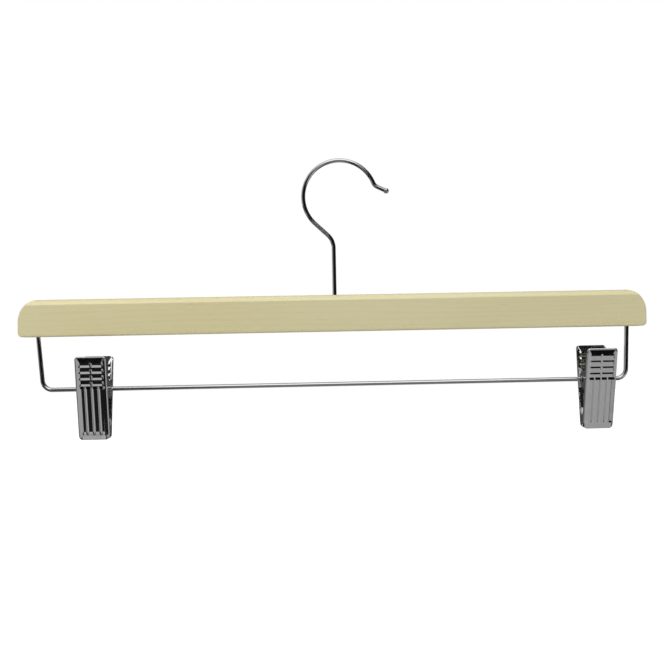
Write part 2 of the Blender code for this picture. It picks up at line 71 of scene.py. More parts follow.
# Swivel hook
HOOK_WIRE = 2.5 * MM
LOOP_BORE = 42.1 * MM
LOOP_OFFSET = 4.3 * MM
NECK_SLOPE = math.radians(43.0)
NECK_BEND_RADIUS = 11.0 * MM
TIP_ANGLE = math.radians(22.0)
TIP_BEND_RADIUS = 5.0 * MM
TIP_BEND_TURN = math.radians(43.0)
TIP_LENGTH = 5.8 * MM
TIP_BALL = 3.3 * MM
HEAD_DIAMETER = 5.2 * MM
HEAD_HEIGHT = 1.4 * MM
HEAD_ROUNDING = 0.35 * MM
WASHER_DIAMETER = 7.4 * MM
WASHER_THICKNESS = 0.8 * MM

# Clip rail
RAIL_WIRE = 2.6 * MM
LEG_INSET = 10.6 * MM
LEG_DEPTH = 12.0 * MM
LEFT_LEG_LEAN = math.radians(4.9)
RIGHT_LEG_LEAN = math.radians(2.2)
RAIL_DROP = 32.0 * MM
RAIL_BEND_RADIUS = 6.0 * MM

# How far each clip has swung about the rail
CLIP_TILT = {"left": 0.0, "right": math.radians(4.5)}

# Jaws, with heights measured from the rail that they hang on and spreads across both jaws
JAW_WIDTH = 18.6 * MM
JAW_RISE = 19.7 * MM
JAW_REACH = 30.4 * MM
LIP_HEIGHT = 3.6 * MM
LIP_SPREAD = 24.6 * MM
GRIP_SPREAD = 23.0 * MM
PIVOT_SPREAD = 17.4 * MM
TIP_SPREAD = 5.8 * MM
SHEET = 0.55 * MM
FOLD_RADIUS = 0.75 * MM
LIP_CORNER_RADIUS = 1.8 * MM
LIP_CURL_RADIUS = 0.9 * MM
LIP_CURL_TURN = math.radians(78.0)
TIP_CORNER_RADIUS = 2.7 * MM
RIM_RISE = 0.4 * MM
RELIEF = 0.34 * MM
RIM_SOFTNESS = 0.15
EAR_RADIUS = 4.0 * MM
EAR_BASE = 6.4 * MM
EAR_JOG = 1.2 * MM
RIM_FLANGE = 1.8 * MM
EAR_FLANGE = 2.9 * MM
PIVOT_FLANGE = 2.3 * MM
WINDOW_FLANGE = 1.6 * MM
WINDOW_FOOT_FLANGE = 2.1 * MM
WINDOW_FOOT_HEIGHT = 10.0 * MM
SHUT_HEIGHT = 8.3 * MM
TIP_FLANGE_GAP = 1.2 * MM

# Pivot tube, spring and pads
TUBE_WALL = 0.35 * MM
TUBE_FLARE = 5.0 * MM
TUBE_FLARE_THICKNESS = 0.5 * MM
SPRING_WIRE = 1.0 * MM
SPRING_TURNS = 5
SPRING_COIL_GAP = 0.45 * MM
SPRING_LEG_RISE = 13.0 * MM
PAD_TIP_GAP = 1.2 * MM
PAD_HEIGHT = 11.0 * MM
PAD_RIBS = 5
PAD_RIB_DEPTH = 0.35 * MM
FIT = 0.3 * MM

# How fine the meshes are
ACROSS_STEP = 0.18 * MM
DOWN_STEP = 0.22 * MM
FLANGE_STEPS = 14
FOLD_TURNS = 6
CURL_STEPS = 8
WIRE_SIDES = 40
ARC_STEP = math.radians(2.0)
TURNED_STEPS = 72
COIL_STEPS = 40
BAR_SIDE_STEPS = 36
BAR_CROWN_STEPS = 20
BAR_CAP_STEPS = 6
BAR_END_STEPS = 44
BAR_ARRIS_SHARE = 0.85
HEAD_STEPS = 8
BALL_STEPS = 28
ROLL_STEPS = 10
PAD_ROWS = 90
PAD_COLUMNS = 12
PAD_LAYERS = 4
MERGE_DISTANCE = 0.0001 * MM
BAR_MERGE_DISTANCE = 0.004 * MM

# The photograph's view
PHOTO_WIDTH = 665
CAMERA_PLACE = Vector((-19.9, -565.9, -110.9)) * MM
CAMERA_PITCH = math.radians(0.70)
CAMERA_ROLL = math.radians(1.11)
CAMERA_YAW = math.radians(-1.84)
CAMERA_FOCUS = 929.2
SENSOR_WIDTH = 36.0

# Floor and lamps, where a lamp is a name, a place, a size and a power
FLOOR_HEIGHT = -0.75
FLOOR_RADIUS = 12.0
FLOOR_SIDES = 96
FLOOR_GLOW = 0.72
LAMP_TARGET = Vector((0.0, 0.0, -0.08))
LAMPS = [("key_lamp", (-0.75, -1.0, 0.75), 0.8, 11.5),
         ("top_lamp", (-0.1, -0.15, 1.1), 0.9, 6.5),
         ("side_lamp", (1.0, -0.9, 0.1), 0.7, 0.9)]

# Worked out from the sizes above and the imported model
BAR_LOW, BAR_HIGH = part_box("wooden_bar")
BAR_HEIGHT = BAR_HIGH.z - BAR_LOW.z
BAR_THICKNESS = BAR_HIGH.y - BAR_LOW.y
BAR_HALF_LENGTH = BAR_HIGH.x
LOOP_RADIUS = (LOOP_BORE + HOOK_WIRE) / 2.0
LOOP_Z = -math.sqrt((LOOP_BORE / 2.0) ** 2 - LOOP_OFFSET ** 2)
LEG_X = BAR_HALF_LENGTH - LEG_INSET
TUBE_BORE_RADIUS = RAIL_WIRE / 2.0 + FIT
TUBE_RADIUS = TUBE_BORE_RADIUS + TUBE_WALL
RIM_CREST = JAW_WIDTH / 2.0 - FOLD_RADIUS
EAR_STEP = SHEET + FIT
EAR_SHOULDER = 0.8 * EAR_RADIUS
EAR_SHOULDER_DEPTH = 0.6 * EAR_RADIUS
WINDOW_FOOT = JAW_REACH - WINDOW_FOOT_HEIGHT
WINDOW_MIDDLE = (EAR_BASE + WINDOW_FOOT) / 2.0
FLANGE_SHUT = JAW_REACH - SHUT_HEIGHT
INNER_DEPTH = RIM_RISE + RELIEF + SHEET + FIT
PIVOTS = {joint["name"].split("_")[0]: Vector(joint["pos_m"])
          for joint in frame["joints"] if joint["name"].endswith("_clip_swing")}


class Nodes:
    """Adds nodes to one tree and joins them. A value is a number, a vector or a node's output."""

    def __init__(self, tree):
        self.tree = tree

    def fill(self, sockets, values):
        """Sets or links the sockets that the values name, by label or by number."""
        for name, value in values.items():
            if isinstance(value, bpy.types.NodeSocket):
                self.tree.links.new(value, sockets[name])
            else:
                sockets[name].default_value = value

    def add(self, kind, values=None, **settings):
        node = self.tree.nodes.new(kind)
        for name, value in settings.items():
            setattr(node, name, value)
        self.fill(node.inputs, values or {})
        return node

    def math(self, operation, *values):
        return self.add('ShaderNodeMath', dict(enumerate(values)), operation=operation).outputs[0]

    def plus(self, first, second):
        return self.math('ADD', first, second)

    def minus(self, first, second):
        return self.math('SUBTRACT', first, second)

    def over(self, first, second):
        return self.math('DIVIDE', first, second)

    def times(self, first, *others):
        for other in others:
            first = self.math('MULTIPLY', first, other)
        return first

    def least(self, first, *others):
        for other in others:
            first = self.math('MINIMUM', first, other)
        return first

    def scale(self, value, low, high, start=0.0, end=1.0, smooth=True):
        """Value, from low to high, as a number from start to end."""
        kind = 'SMOOTHSTEP' if smooth else 'LINEAR'
        values = dict(enumerate((value, low, high, start, end)))
        return self.add('ShaderNodeMapRange', values, interpolation_type=kind).outputs[0]

    def colour_stops(self, value, stops):
        """A colour ramp through (place, colour) stops, where a plain number is a grey."""
        node = self.add('ShaderNodeValToRGB', {"Fac": value})
        band = node.color_ramp
        while len(band.elements) < len(stops):
            band.elements.new(1.0)
        for element, (place, colour) in zip(band.elements, stops):
            element.position = place
            tint = colour if isinstance(colour, tuple) else (colour,) * 3
            element.color = (*tint, 1.0)
        return node.outputs["Color"]

    def mix(self, share, first, second, kind='MIX'):
        values = {"Factor": share, 6: first, 7: second}
        return self.add('ShaderNodeMix', values, data_type='RGBA', blend_type=kind).outputs[2]

    def tint(self, colour, share, shade):
        """Colour multiplied by a shade, as far as the share says."""
        return self.mix(share, colour, shade, 'MULTIPLY')

    def axes(self, vector):
        return self.add('ShaderNodeSeparateXYZ', {"Vector": vector}).outputs

    def object_places(self, stretch):
        """Places on the piece, in its own axes, squeezed or stretched along them."""
        places = self.add('ShaderNodeTexCoord').outputs["Object"]
        return self.add('ShaderNodeMapping', {"Vector": places, "Scale": stretch}).outputs[0]

    def noise(self, scale, detail, stretch=(1.0, 1.0, 1.0), roughness=0.5):
        values = {"Vector": self.object_places(stretch), "Scale": scale, "Detail": detail,
                  "Roughness": roughness}
        return self.add('ShaderNodeTexNoise', values).outputs["Fac"]

    def bump(self, height, strength, distance):
        values = {"Height": height, "Strength": strength, "Distance": distance}
        return self.add('ShaderNodeBump', values).outputs["Normal"]


def finish_material(name, colour, metallic, roughness):
    """A material, its node helper and its shader's sockets, with what is the same all over set."""
    material = bpy.data.materials.new(name)
    material.use_nodes = True
    material.diffuse_color = (*colour, 1.0)
    nodes = Nodes(material.node_tree)
    shader = material.node_tree.nodes["Principled BSDF"].inputs
    nodes.fill(shader, {"Base Color": (*colour, 1.0), "Metallic": metallic, "Roughness": roughness})
    return material, nodes, shader


def wood_material():
    """Pale close-grained wood: growth rings round a far heart, fine fibres, short pores, satin coat."""
    heart_y = 31.0 * MM
    heart_z = -160.0 * MM
    ring_angle_per_metre = 2400.0
    drift_reach = 9.0 * MM
    material, nodes, shader = finish_material("pale_wood", (0.60, 0.53, 0.31), 0.0, 0.46)
    lengthwise = (0.10, 1.0, 1.0)
    axes = nodes.axes(nodes.object_places(lengthwise))
    across = nodes.minus(axes["Y"], heart_y)
    above = nodes.minus(axes["Z"], heart_z)
    square = nodes.plus(nodes.times(across, across), nodes.times(above, above))
    drift = nodes.times(nodes.noise(55.0, 3.0, lengthwise), drift_reach)
    bent = nodes.plus(nodes.math('SQRT', square), drift)
    late = nodes.scale(nodes.math('SINE', nodes.times(bent, ring_angle_per_metre)), 0.2, 1.0)
    slow = nodes.noise(14.0, 2.0, (0.35, 1.0, 1.0))
    fibres = nodes.noise(2600.0, 2.0, (0.02, 1.0, 1.0), 0.6)
    pore = nodes.scale(nodes.noise(1500.0, 1.0, (0.05, 1.0, 1.0)), 0.66, 0.74)
    base = nodes.mix(nodes.scale(slow, 0.3, 0.7), (0.600, 0.548, 0.328, 1.0), (0.575, 0.514, 0.290, 1.0))
    ringed = nodes.tint(base, nodes.times(late, 0.16), (0.86, 0.82, 0.74, 1.0))
    fibrous = nodes.tint(ringed, nodes.scale(fibres, 0.3, 0.75, 0.0, 0.3), (0.92, 0.90, 0.86, 1.0))
    colour = nodes.tint(fibrous, nodes.times(pore, 0.22), (0.72, 0.62, 0.48, 1.0))
    height = nodes.minus(fibres, nodes.times(pore, 0.8))
    nodes.fill(shader, {"Base Color": colour,
                        "Roughness": nodes.scale(fibres, 0.25, 0.75, 0.40, 0.52),
                        "Normal": nodes.bump(height, 0.25, 0.04 * MM),
                        "Coat Weight": 0.08, "Coat Roughness": 0.3})
    return material


def bright_wire_material(name, roughness):
    """Chromed drawn wire with a fine skin and a slightly uneven polish."""
    material, nodes, shader = finish_material(name, (0.60, 0.60, 0.61), 1.0, roughness)
    smudge = nodes.noise(220.0, 2.0)
    fine = nodes.noise(2600.0, 2.0)
    nodes.fill(shader, {"Roughness": nodes.scale(smudge, 0.3, 0.7, 0.8 * roughness, 1.5 * roughness),
                        "Normal": nodes.bump(fine, 0.10, 0.01 * MM)})
    return material


def jaw_material():
    """Chromed pressed sheet: a slight orange peel, rolling streaks down the jaw and dull smudges."""
    material, nodes, shader = finish_material("chromed_sheet", (0.60, 0.60, 0.615), 1.0, 0.10)
    streaks = nodes.noise(900.0, 2.0, (1.0, 1.0, 0.06))
    smudge = nodes.noise(160.0, 3.0)
    peel = nodes.noise(1300.0, 1.0)
    height = nodes.plus(nodes.times(streaks, 0.7), nodes.times(peel, 0.3))
    shade = nodes.scale(streaks, 0.3, 0.7, 0.0, 0.5)
    nodes.fill(shader, {"Base Color": nodes.tint((0.60, 0.61, 0.60, 1.0), shade, (0.90, 0.90, 0.90, 1.0)),
                        "Roughness": nodes.scale(smudge, 0.3, 0.7, 0.05, 0.10),
                        "Normal": nodes.bump(height, 0.3, 0.03 * MM)})
    return material


def grained_material(name, colour, roughness, grain, polish, bump, greys=None):
    """Plated steel whose one grain sets its polish, its bumps and, with two greys, its colour."""
    material, nodes, shader = finish_material(name, colour, 1.0, roughness)
    grain = nodes.noise(*grain)
    nodes.fill(shader, {"Roughness": nodes.scale(grain, 0.3, 0.7, *polish),
                        "Normal": nodes.bump(grain, *bump)})
    if greys:
        nodes.fill(shader, {"Base Color": nodes.mix(nodes.scale(grain, 0.35, 0.65), *greys)})
    return material


def pad_material():
    """Milky soft plastic: cloudy inside, with a fine matt skin."""
    material, nodes, shader = finish_material("milky_plastic", (0.80, 0.82, 0.80), 0.0, 0.42)
    cloud = nodes.scale(nodes.noise(420.0, 3.0), 0.3, 0.7)
    skin = nodes.noise(5200.0, 2.0)
    nodes.fill(shader, {"Base Color": nodes.mix(cloud, (0.76, 0.79, 0.77, 1.0), (0.86, 0.87, 0.86, 1.0)),
                        "Roughness": nodes.scale(skin, 0.3, 0.7, 0.34, 0.5),
                        "Normal": nodes.bump(skin, 0.25, 0.03 * MM),
                        "Subsurface Weight": 0.35, "Subsurface Scale": 1.5 * MM,
                        "Transmission Weight": 0.15})
    return material


MATERIALS = {
    "wood": wood_material(),
    "hook_wire": bright_wire_material("chromed_hook_wire", 0.06),
    "rail_wire": bright_wire_material("chromed_rail_wire", 0.08),
    "washer": grained_material("zinc_washer", (0.5, 0.5, 0.52), 0.4, grain=(900.0, 3.0),
                               polish=(0.32, 0.5), bump=(0.3, 0.02 * MM),
                               greys=((0.42, 0.43, 0.45, 1.0), (0.56, 0.56, 0.57, 1.0))),
    "pivot_tube": grained_material("plated_tube", (0.55, 0.55, 0.57), 0.2,
                                   grain=(900.0, 3.0, (4.0, 1.0, 1.0)),
                                   polish=(0.12, 0.3), bump=(0.3, 0.02 * MM)),
    "jaw_sheet": jaw_material(),
    "spring_wire": grained_material("spring_steel", (0.42, 0.42, 0.44), 0.28, grain=(1800.0, 3.0),
                                    polish=(0.2, 0.36), bump=(0.2, 0.01 * MM),
                                    greys=((0.36, 0.36, 0.38, 1.0), (0.48, 0.48, 0.5, 1.0))),
    "pad": pad_material(),
}


def new_object(name, data):
    item = bpy.data.objects.new(name, data)
    bpy.context.scene.collection.objects.link(item)
    return item


def mesh_from(name, bm):
    mesh = bpy.data.meshes.new(name)
    bm.to_mesh(mesh)
    bm.free()
    return mesh


def closed_mesh(name, bm):
    bmesh.ops.recalc_face_normals(bm, faces=bm.faces)
    return mesh_from(name, bm)


def baked(item):
    """The item's evaluated mesh; the item itself is removed."""
    graph = bpy.context.evaluated_depsgraph_get()
    mesh = bpy.data.meshes.new_from_object(item.evaluated_get(graph))
    bpy.data.objects.remove(item, do_unlink=True)
    return mesh


def turn_outward(mesh):
    bm = bmesh.new()
    bm.from_mesh(mesh)
    bmesh.ops.remove_doubles(bm, verts=bm.verts, dist=MERGE_DISTANCE)
    bmesh.ops.recalc_face_normals(bm, faces=bm.faces)
    bm.to_mesh(mesh)
    bm.free()


def finished(node, mesh, slot, body=None, sharp=35.0):
    """A finished piece that stands for the CAD node of its name, on the node's own body."""
    mesh.name = node
    mesh.materials.clear()
    mesh.materials.append(MATERIALS[slot])
    mesh.shade_smooth()
    mesh.set_sharp_from_angle(angle=math.radians(sharp))
    piece = new_object(node + "_finish", mesh)
    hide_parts(node)
    if body is not None:
        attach(piece, body)
    return piece


def cut_out(item, cutters):
    """Takes the cutters' shapes out of the item, then removes them."""
    for cutter in cutters:
        boolean = item.modifiers.new(cutter.name, 'BOOLEAN')
        boolean.operation = 'DIFFERENCE'
        boolean.solver = 'EXACT'
        boolean.object = cutter
    bpy.context.view_layer.update()
    mesh = baked(item)
    for cutter in cutters:
        bpy.data.objects.remove(cutter, do_unlink=True)
    return mesh


def turned_mesh(name, profile, axis):
    """A closed profile of (distance along the axis, radius) spun right round the axis."""
    bm = bmesh.new()
    side = Vector((0.0, 0.0, 1.0)) if abs(axis.z) < 0.5 else Vector((1.0, 0.0, 0.0))
    points = [bm.verts.new(axis * along + side * radius) for along, radius in profile]
    edges = [bm.edges.new((points[i - 1], points[i])) for i in range(len(points))]
    bmesh.ops.spin(bm, geom=points + edges, cent=(0.0, 0.0, 0.0), axis=axis,
                   angle=math.tau, steps=TURNED_STEPS, use_merge=True)
    bmesh.ops.remove_doubles(bm, verts=bm.verts, dist=MERGE_DISTANCE)
    return closed_mesh(name, bm)


def rod_object(name, start, end, radius):
    line = Vector(end) - Vector(start)
    middle = (Vector(start) + Vector(end)) / 2.0
    turn = line.to_track_quat('Z', 'Y').to_matrix().to_4x4()
    bm = bmesh.new()
    bmesh.ops.create_cone(bm, cap_ends=True, segments=TURNED_STEPS, radius1=radius, radius2=radius,
                          depth=line.length, matrix=Matrix.Translation(middle) @ turn)
    return new_object(name, closed_mesh(name, bm))


def arc(centre, radius, start, end):
    """Points on a circle in the XZ plane, from one angle to another."""
    count = max(4, math.ceil(abs(end - start) / ARC_STEP))
    angles = [start + (end - start) * step / count for step in range(count + 1)]
    return [Vector((centre.x + radius * math.cos(angle), 0.0, centre.z + radius * math.sin(angle)))
            for angle in angles]


def rounded_corner(before, corner, after, radius):
    """The bend that replaces a corner between two straight runs in the XZ plane."""
    inward = (before - corner).normalized()
    outward = (after - corner).normalized()
    half = inward.angle(outward) / 2.0
    centre = corner + (inward + outward).normalized() * radius / math.sin(half)
    first = corner + inward * radius / math.tan(half) - centre
    last = corner + outward * radius / math.tan(half) - centre
    start = math.atan2(first.z, first.x)
    turn = math.atan2(last.z, last.x) - start
    turn = (turn + math.pi) % math.tau - math.pi
    return arc(centre, radius, start, start + turn)


def geometry_tree(name, sizes):
    """An empty geometry tree with named inputs, and the outputs of its input node by name."""
    tree = bpy.data.node_groups.new(name, 'GeometryNodeTree')
    tree.interface.new_socket("Geometry", in_out='INPUT', socket_type='NodeSocketGeometry')
    for label, value in sizes.items():
        kind = 'NodeSocketInt' if isinstance(value, int) else 'NodeSocketFloat'
        socket = tree.interface.new_socket(label, in_out='INPUT', socket_type=kind)
        socket.default_value = value
    tree.interface.new_socket("Material", in_out='INPUT', socket_type='NodeSocketMaterial')
    tree.interface.new_socket("Geometry", in_out='OUTPUT', socket_type='NodeSocketGeometry')
    nodes = Nodes(tree)
    return nodes, nodes.add('NodeGroupInput').outputs


def end_tree(nodes, geometry, material):
    """Every tree ends alike: instances made real, and the material set."""
    real = nodes.add('GeometryNodeRealizeInstances', {"Geometry": geometry}).outputs[0]
    smooth = nodes.add('GeometryNodeSetShadeSmooth', {"Geometry": real}).outputs[0]
    done = nodes.add('GeometryNodeSetMaterial', {"Geometry": smooth, "Material": material})
    nodes.add('NodeGroupOutput', {"Geometry": done.outputs[0]})
    return nodes.tree


def run_tree(item, tree, sizes, material):
    """Puts the tree on the item with its sizes set, and returns the plain mesh that it makes."""
    modifier = item.modifiers.new(tree.name, 'NODES')
    modifier.node_group = tree
    values = {**sizes, "Material": material}
    for socket in tree.interface.items_tree:
        if socket.in_out == 'INPUT' and socket.name in values:
            modifier[socket.identifier] = values[socket.name]
    bpy.context.view_layer.update()
    return baked(item)


def wire_tree():
    """A round wire swept along a curve, whose own radius widens or narrows it."""
    nodes, size = geometry_tree("swept wire", {"Wire Radius": HOOK_WIRE / 2.0, "Sides": WIRE_SIDES})
    circle = nodes.add('GeometryNodeCurvePrimitiveCircle', {"Resolution": size["Sides"],
                                                            "Radius": size["Wire Radius"]})
    width = nodes.add('GeometryNodeInputRadius').outputs[0]
    swept = nodes.add('GeometryNodeCurveToMesh', {"Curve": size["Geometry"], "Scale": width,
                                                  "Profile Curve": circle.outputs["Curve"],
                                                  "Fill Caps": True})
    return end_tree(nodes, swept.outputs[0], size["Material"])


WIRE_TREE = wire_tree()


def wire_mesh(name, points, diameter, slot, widths=None):
    """The mesh of a wire along points, each with an optional width as a share of the diameter."""
    curve = bpy.data.curves.new(name + "_path", 'CURVE')
    curve.dimensions = '3D'
    curve.twist_mode = 'MINIMUM'
    spline = curve.splines.new('POLY')
    spline.points.add(len(points) - 1)
    for index, point in enumerate(points):
        spline.points[index].co = (*point, 1.0)
        spline.points[index].radius = widths[index] if widths else 1.0
    path = new_object(name + "_path", curve)
    mesh = run_tree(path, WIRE_TREE, {"Wire Radius": diameter / 2.0, "Sides": WIRE_SIDES},
                    MATERIALS[slot])
    turn_outward(mesh)
    return mesh


def drawn_in(into):
    """How far a rounded corner of size 1 draws an edge in, at a share of the way into it."""
    return 1.0 - math.sqrt(max(0.0, 1.0 - max(0.0, into) ** 2))


def outline_end(z):
    """How far from its middle the bar reaches at height z above its base."""
    if z < LOWER_CORNER_RADIUS:
        return BAR_HALF_LENGTH - LOWER_CORNER_RADIUS * drawn_in(1.0 - z / LOWER_CORNER_RADIUS)
    into = (z - (BAR_HEIGHT - END_CORNER_HEIGHT)) / END_CORNER_HEIGHT
    return BAR_HALF_LENGTH - END_CORNER_LENGTH * drawn_in(into)


def outline_base(x):
    """The lowest height of the bar at a distance x from its middle."""
    into = (x - (BAR_HALF_LENGTH - LOWER_CORNER_RADIUS)) / LOWER_CORNER_RADIUS
    return LOWER_CORNER_RADIUS * drawn_in(into)


def outline_top(x):
    """The greatest height of the bar at a distance x from its middle."""
    into = (x - (BAR_HALF_LENGTH - END_CORNER_LENGTH)) / END_CORNER_LENGTH
    return BAR_HEIGHT - END_CORNER_HEIGHT * drawn_in(into)


def from_line(level, upright):
    """The distance to a slanting edge that is so far off along the level and the upright."""
    if level <= 0.0 or upright <= 0.0:
        return 0.0
    return level * upright / math.hypot(level, upright)


def bar_half_thickness(x, z):
    """Half the bar's thickness at a place in its front view: crowned above, eased at every edge."""
    half = BAR_THICKNESS / 2.0
    level = outline_end(z) - x
    inside = min(from_line(level, outline_top(x) - z), from_line(level, z - outline_base(x)))
    eased = half
    if inside < BAR_EDGE_RADIUS:
        short = BAR_EDGE_RADIUS - inside
        eased = half - BAR_EDGE_RADIUS + math.sqrt(BAR_EDGE_RADIUS ** 2 - short ** 2)
    radius = (half ** 2 + BAR_CROWN ** 2) / (2.0 * BAR_CROWN)
    above = z - (BAR_HEIGHT - radius)
    if z <= BAR_HEIGHT - BAR_CROWN:
        return eased
    return min(eased, math.sqrt(max(0.0, radius ** 2 - above ** 2)))


def bar_stations():
    """Distances from the bar's middle, close together where its end rounds off."""
    stations = [0.0, 40.0 * MM, 90.0 * MM, 140.0 * MM]
    start = BAR_HALF_LENGTH - END_CORNER_LENGTH
    for step in range(BAR_END_STEPS + 1):
        stations.append(start + END_CORNER_LENGTH * math.sin(math.pi / 2.0 * step / BAR_END_STEPS))
    return [-x for x in reversed(stations[1:])] + stations


def eased_share(share):
    """Steps from 0 to 1 that lie closer together near both ends."""
    return 0.5 - 0.5 * math.cos(math.pi * share)


def bar_ring(x):
    """One closed ring of points round the bar, in the plane at x."""
    reach = abs(x)
    low = outline_base(reach)
    high = outline_top(reach)
    arris = min(BAR_HEIGHT - BAR_CROWN, low + BAR_ARRIS_SHARE * (high - low))
    heights = [low + (arris - low) * eased_share(step / BAR_SIDE_STEPS) for step in range(BAR_SIDE_STEPS)]
    heights += [arris + (high - arris) * (step / BAR_CROWN_STEPS) for step in range(BAR_CROWN_STEPS + 1)]
    front = [(bar_half_thickness(reach, z), z) for z in heights]
    shares = [1.0 - 2.0 * step / BAR_CAP_STEPS for step in range(1, BAR_CAP_STEPS)]
    base = [(front[0][0] * share, low) for share in shares]
    top = [(front[-1][0] * share, high) for share in shares]
    ring = [(-y, z) for y, z in front] + [(-y, z) for y, z in top]
    ring += list(reversed(front)) + base
    return [Vector((x, y, BAR_LOW.z + z)) for y, z in ring]


def make_bar():
    bm = bmesh.new()
    rings = [[bm.verts.new(point) for point in bar_ring(x)] for x in bar_stations()]
    count = len(rings[0])
    for first, second in zip(rings, rings[1:]):
        for index in range(count):
            after = (index + 1) % count
            bm.faces.new((first[index], second[index], second[after], first[after]))
    bm.faces.new(rings[0])
    bm.faces.new(list(reversed(rings[-1])))
    bmesh.ops.remove_doubles(bm, verts=bm.verts, dist=BAR_MERGE_DISTANCE)
    bar = new_object("bar_blank", closed_mesh("bar_blank", bm))

    bore = HOOK_WIRE / 2.0 + FIT
    pocket = WASHER_DIAMETER / 2.0 + FIT
    past = 1.0 * MM
    base = BAR_LOW.z
    cutters = [rod_object("hook_bore", (0.0, 0.0, base - past), (0.0, 0.0, BAR_HIGH.z + past), bore),
               rod_object("washer_pocket", (0.0, 0.0, base - past),
                          (0.0, 0.0, base + COUNTERBORE_DEPTH), pocket)]
    for side in (-1, 1):
        top, corner = leg_line(side)
        upward = (top - corner).normalized()
        mouth = top - upward * (LEG_DEPTH + past) / upward.z
        cutters.append(rod_object("leg_hole", top + upward * FIT, mouth, RAIL_WIRE / 2.0 + FIT))
    finished("wooden_bar", cut_out(bar, cutters), "wood", "bar", sharp=24.0)


def leg_line(side):
    """A rail leg's top in the wood and its corner on the rail."""
    lean = LEFT_LEG_LEAN if side < 0 else RIGHT_LEG_LEAN
    base = BAR_LOW.z
    top = Vector((side * (LEG_X + LEG_DEPTH * math.tan(lean)), 0.0, base + LEG_DEPTH))
    corner = Vector((side * (LEG_X - RAIL_DROP * math.tan(lean)), 0.0, base - RAIL_DROP))
    return top, corner


def make_hook():
    """One wire: upset head, stem, neck, loop, reversed tip and ball."""
    centre = Vector((LOOP_OFFSET, 0.0, LOOP_Z))
    washer_base = BAR_LOW.z + COUNTERBORE_DEPTH - FIT - WASHER_THICKNESS
    head_top = washer_base - FIT
    head_base = head_top - HEAD_HEIGHT
    full = HEAD_DIAMETER / HOOK_WIRE
    step_down = 0.03 * MM
    points = []
    widths = []
    for step in range(HEAD_STEPS + 1):
        angle = math.pi / 2.0 * step / HEAD_STEPS
        points.append(Vector((0.0, 0.0, head_base + HEAD_ROUNDING * (1.0 - math.cos(angle)))))
        widths.append(full - 2.0 * HEAD_ROUNDING / HOOK_WIRE * (1.0 - math.sin(angle)))
    points += [Vector((0.0, 0.0, head_top - step_down)), Vector((0.0, 0.0, head_top))]
    widths += [full, 1.0]

    touch_angle = math.pi + math.pi / 2.0 - NECK_SLOPE
    touch = centre + LOOP_RADIUS * Vector((math.cos(touch_angle), 0.0, math.sin(touch_angle)))
    run = -touch.x / math.cos(NECK_SLOPE)
    corner = touch + run * Vector((math.cos(NECK_SLOPE), 0.0, -math.sin(NECK_SLOPE)))
    neck = rounded_corner(points[-1], corner, touch, NECK_BEND_RADIUS)
    loop = arc(centre, LOOP_RADIUS, touch_angle, TIP_ANGLE)
    outward = Vector((math.cos(TIP_ANGLE), 0.0, math.sin(TIP_ANGLE)))
    tip_centre = centre + (LOOP_RADIUS + TIP_BEND_RADIUS) * outward
    start = TIP_ANGLE + math.pi
    tip_bend = arc(tip_centre, TIP_BEND_RADIUS, start, start + TIP_BEND_TURN)
    heading = TIP_ANGLE - math.pi / 2.0 + TIP_BEND_TURN
    ahead = Vector((math.cos(heading), 0.0, math.sin(heading)))
    route = neck + loop + tip_bend[1:]
    points += route
    widths += [1.0] * len(route)

    ball_centre = route[-1] + TIP_LENGTH * ahead
    ball_radius = TIP_BALL / 2.0
    wire_radius = HOOK_WIRE / 2.0
    first = math.pi - math.asin(wire_radius / ball_radius)
    last = math.radians(2.0)
    for step in range(BALL_STEPS + 1):
        angle = first + (last - first) * step / BALL_STEPS
        points.append(ball_centre + ball_radius * math.cos(angle) * ahead)
        widths.append(ball_radius * math.sin(angle) / wire_radius)
    finished("hook", wire_mesh("hook", points, HOOK_WIRE, "hook_wire", widths), "hook_wire", "hook")


def make_washer():
    inner = HOOK_WIRE / 2.0 + FIT
    outer = WASHER_DIAMETER / 2.0
    ease = 0.12 * MM
    base = BAR_LOW.z + COUNTERBORE_DEPTH - FIT - WASHER_THICKNESS
    top = base + WASHER_THICKNESS
    profile = [(base + ease, inner), (base, inner + ease), (base, outer - ease), (base + ease, outer),
               (top - ease, outer), (top, outer - ease), (top, inner + ease), (top - ease, inner)]
    mesh = turned_mesh("washer", profile, Vector((0.0, 0.0, 1.0)))
    finished("hook_washer", mesh, "washer", "bar")


def make_rail():
    left_top, left_corner = leg_line(-1)
    right_top, right_corner = leg_line(1)
    points = [left_top]
    points += rounded_corner(left_top, left_corner, right_corner, RAIL_BEND_RADIUS)
    points += rounded_corner(left_corner, right_corner, right_top, RAIL_BEND_RADIUS)
    points.append(right_top)
    finished("clip_rail", wire_mesh("rail", points, RAIL_WIRE, "rail_wire"), "rail_wire", "bar")


def along(stations, z):
    """The value at height z on a line through (z, value) stations, listed from the top down."""
    for (z_high, high), (z_low, low) in zip(stations, stations[1:]):
        if z >= z_low:
            return low + (high - low) * (z - z_low) / (z_high - z_low)
    return stations[-1][1]


def jaw_face(z):
    """How far in front of the pivot the crest of a jaw's rim lies at height z."""
    stations = [(JAW_RISE, LIP_SPREAD / 2.0), (JAW_RISE - LIP_HEIGHT, GRIP_SPREAD / 2.0),
                (0.0, PIVOT_SPREAD / 2.0), (-JAW_REACH, TIP_SPREAD / 2.0)]
    return along(stations, z)


